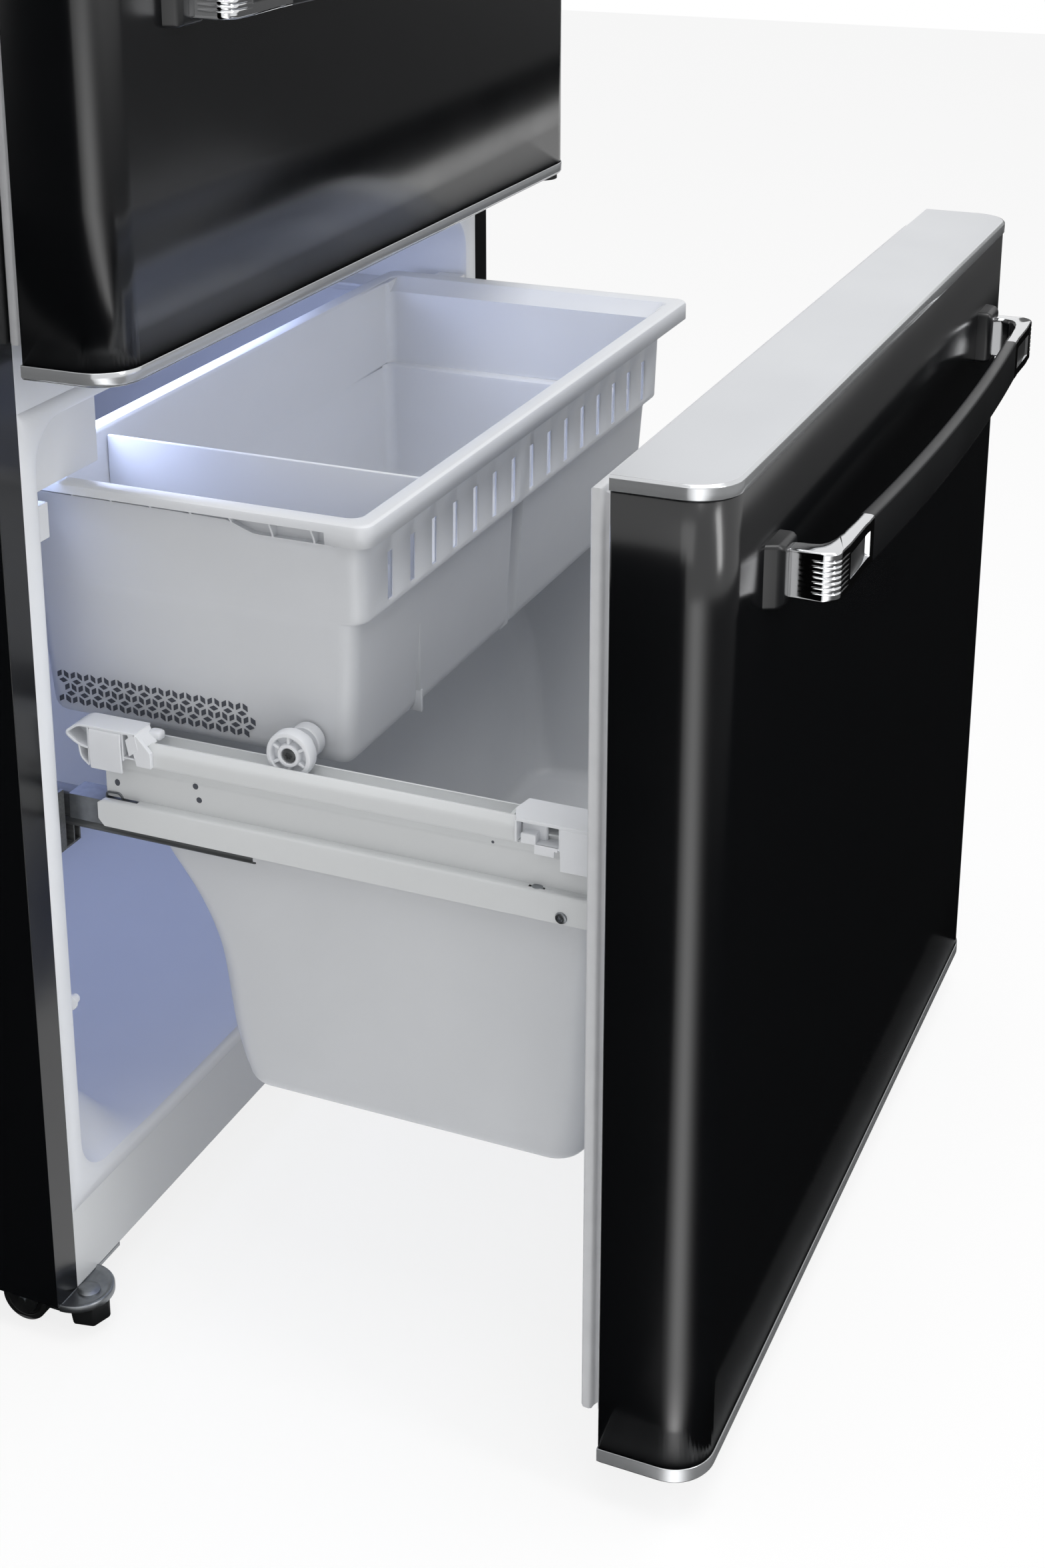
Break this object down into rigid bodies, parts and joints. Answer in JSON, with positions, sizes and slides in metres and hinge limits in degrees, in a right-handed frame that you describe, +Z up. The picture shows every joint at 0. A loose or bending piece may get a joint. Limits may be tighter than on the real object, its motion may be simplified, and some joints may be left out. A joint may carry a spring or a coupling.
{
  "type": "refrigerator",
  "caption": "Retro bottom-mount refrigerator with a hinged upper door and a pull-out freezer drawer carrying a slotted roller basket, a deep bin and telescopic slides.",
  "frame": {"origin": "centre of the bounding box on the floor, with the freezer drawer pulled out as in the picture", "axes": "+Z up, the doors face -Y, +X is the right side seen from the front"},
  "size_m": [0.836, 1.177, 1.766],
  "materials": {
    "shell_enamel": "black gloss enamel",
    "door_enamel": "black gloss enamel",
    "satin_cap": "satin, light grey, with a polished edge",
    "chrome": "polished chrome",
    "bar_black": "satin black",
    "liner_white": "smooth white",
    "rail_white": "white enamelled sheet",
    "part_white": "moulded white plastic",
    "gasket_grey": "soft pale grey seal",
    "foam": "rigid foam behind the skins",
    "zinc": "zinc-plated steel",
    "dark_steel": "dark zinc and black steel",
    "black_plastic": "black moulded plastic",
    "glass": "clear tempered glass",
    "clear_plastic": "clear tinted plastic",
    "coil_aluminium": "bare aluminium fins and tubes"
  },
  "bodies": {
    "cabinet": {"cabinet_shell": "shell_enamel", "cabinet_back": "zinc", "base_pan": "zinc", "insulation": "foam", "freezer_liner": "liner_white", "fridge_liner": "liner_white", "mullion_cover": "liner_white", "plinth_panel": "rail_white", "foot_plates": "zinc", "top_hinge": "zinc", "middle_hinge": "dark_steel", "hinge_cover": "black_plastic", "cabinet_slides": "dark_steel", "basket_side_rails": "part_white", "icemaker_housing": "part_white", "evaporator_cover": "part_white", "evaporator_coil": "coil_aluminium", "air_duct": "part_white", "compressor": "dark_steel", "condenser_coil": "zinc", "machine_cover": "zinc", "drain_pan": "black_plastic", "glass_shelves": "glass"},
    "upper_door": {"upper_door_skin": "door_enamel", "upper_door_foam": "foam", "upper_door_liner": "liner_white", "upper_door_gasket": "gasket_grey", "upper_door_cap": "satin_cap", "upper_door_trim": "chrome", "upper_handle_bar": "bar_black", "upper_handle_fittings": "chrome", "door_bins": "clear_plastic"},
    "drawer": {"drawer_skin": "door_enamel", "drawer_foam": "foam", "drawer_liner": "liner_white", "drawer_gasket": "gasket_grey", "drawer_cap": "satin_cap", "drawer_trim": "chrome", "drawer_handle_bar": "bar_black", "drawer_handle_fittings": "chrome", "drawer_rail_left": "rail_white", "drawer_rail_right": "rail_white", "rail_guides": "part_white", "drawer_slides": "zinc", "lower_bin": "part_white"},
    "slides": {"intermediate_slides": "dark_steel"},
    "basket": {"upper_basket": "part_white"},
    "basket_wheel_left": {"basket_wheel_left": "part_white"},
    "basket_wheel_right": {"basket_wheel_right": "part_white"},
    "roller_front_left": {"roller_front_left": "black_plastic"},
    "roller_front_right": {"roller_front_right": "black_plastic"},
    "roller_rear_left": {"roller_rear_left": "black_plastic"},
    "roller_rear_right": {"roller_rear_right": "black_plastic"},
    "leveling_foot_left": {"leveling_foot_left": "black_plastic"},
    "leveling_foot_right": {"leveling_foot_right": "black_plastic"},
    "evaporator_fan": {"evaporator_fan": "black_plastic"},
    "condenser_fan": {"condenser_fan": "black_plastic"},
    "ice_tray": {"ice_tray": "clear_plastic"},
    "crisper_left": {"crisper_left": "clear_plastic"},
    "crisper_right": {"crisper_right": "clear_plastic"}
  },
  "joints": [
    {"name": "upper_door_hinge", "type": "hinge", "parent": "cabinet", "child": "upper_door", "pos_m": [0.394, -0.0695, 0.779], "axis": [0, 0, 1], "range_deg": [0, 130]},
    {"name": "drawer_slide", "type": "slide", "parent": "cabinet", "child": "drawer", "axis": [0, -1, 0], "range_m": [-0.422, 0.01]},
    {"name": "intermediate_slide", "type": "slide", "parent": "cabinet", "child": "slides", "axis": [0, -1, 0], "range_m": [-0.211, 0.005]},
    {"name": "basket_slide", "type": "slide", "parent": "drawer", "child": "basket", "axis": [0, -1, 0], "range_m": [0, 0.15]},
    {"name": "basket_wheel_left_spin", "type": "hinge", "parent": "basket", "child": "basket_wheel_left", "pos_m": [-0.3465, -0.2015, 0.506], "axis": [1, 0, 0], "continuous": true},
    {"name": "basket_wheel_right_spin", "type": "hinge", "parent": "basket", "child": "basket_wheel_right", "pos_m": [0.3465, -0.2015, 0.506], "axis": [1, 0, 0], "continuous": true},
    {"name": "roller_front_left_spin", "type": "hinge", "parent": "cabinet", "child": "roller_front_left", "pos_m": [-0.396, 0.0205, 0.02], "axis": [1, 0, 0], "continuous": true},
    {"name": "roller_front_right_spin", "type": "hinge", "parent": "cabinet", "child": "roller_front_right", "pos_m": [0.396, 0.0205, 0.02], "axis": [1, 0, 0], "continuous": true},
    {"name": "roller_rear_left_spin", "type": "hinge", "parent": "cabinet", "child": "roller_rear_left", "pos_m": [-0.396, 0.5285, 0.02], "axis": [1, 0, 0], "continuous": true},
    {"name": "roller_rear_right_spin", "type": "hinge", "parent": "cabinet", "child": "roller_rear_right", "pos_m": [0.396, 0.5285, 0.02], "axis": [1, 0, 0], "continuous": true},
    {"name": "leveling_foot_left_turn", "type": "hinge", "parent": "cabinet", "child": "leveling_foot_left", "pos_m": [-0.388, -0.0305, 0.02], "axis": [0, 0, 1], "continuous": true},
    {"name": "leveling_foot_right_turn", "type": "hinge", "parent": "cabinet", "child": "leveling_foot_right", "pos_m": [0.388, -0.0305, 0.02], "axis": [0, 0, 1], "continuous": true},
    {"name": "evaporator_fan_spin", "type": "hinge", "parent": "cabinet", "child": "evaporator_fan", "pos_m": [0, 0.4985, 0.642], "axis": [0, 1, 0], "continuous": true},
    {"name": "condenser_fan_spin", "type": "hinge", "parent": "cabinet", "child": "condenser_fan", "pos_m": [-0.003, 0.4585, 0.142], "axis": [1, 0, 0], "continuous": true},
    {"name": "ice_tray_turn", "type": "hinge", "parent": "cabinet", "child": "ice_tray", "pos_m": [-0.326, 0.1285, 0.708], "axis": [0, 1, 0], "range_deg": [0, 150]},
    {"name": "crisper_left_slide", "type": "slide", "parent": "cabinet", "child": "crisper_left", "axis": [0, -1, 0], "range_m": [0, 0.1]},
    {"name": "crisper_right_slide", "type": "slide", "parent": "cabinet", "child": "crisper_right", "axis": [0, -1, 0], "range_m": [0, 0.1]}
  ],
  "couplings": [
    {"joint": "intermediate_slide", "follows": "drawer_slide", "ratio": 0.5},
    {"joint": "basket_wheel_left_spin", "follows": "basket_slide", "rad_per_m": 55.556},
    {"joint": "basket_wheel_right_spin", "follows": "basket_slide", "rad_per_m": 55.556}
  ]
}
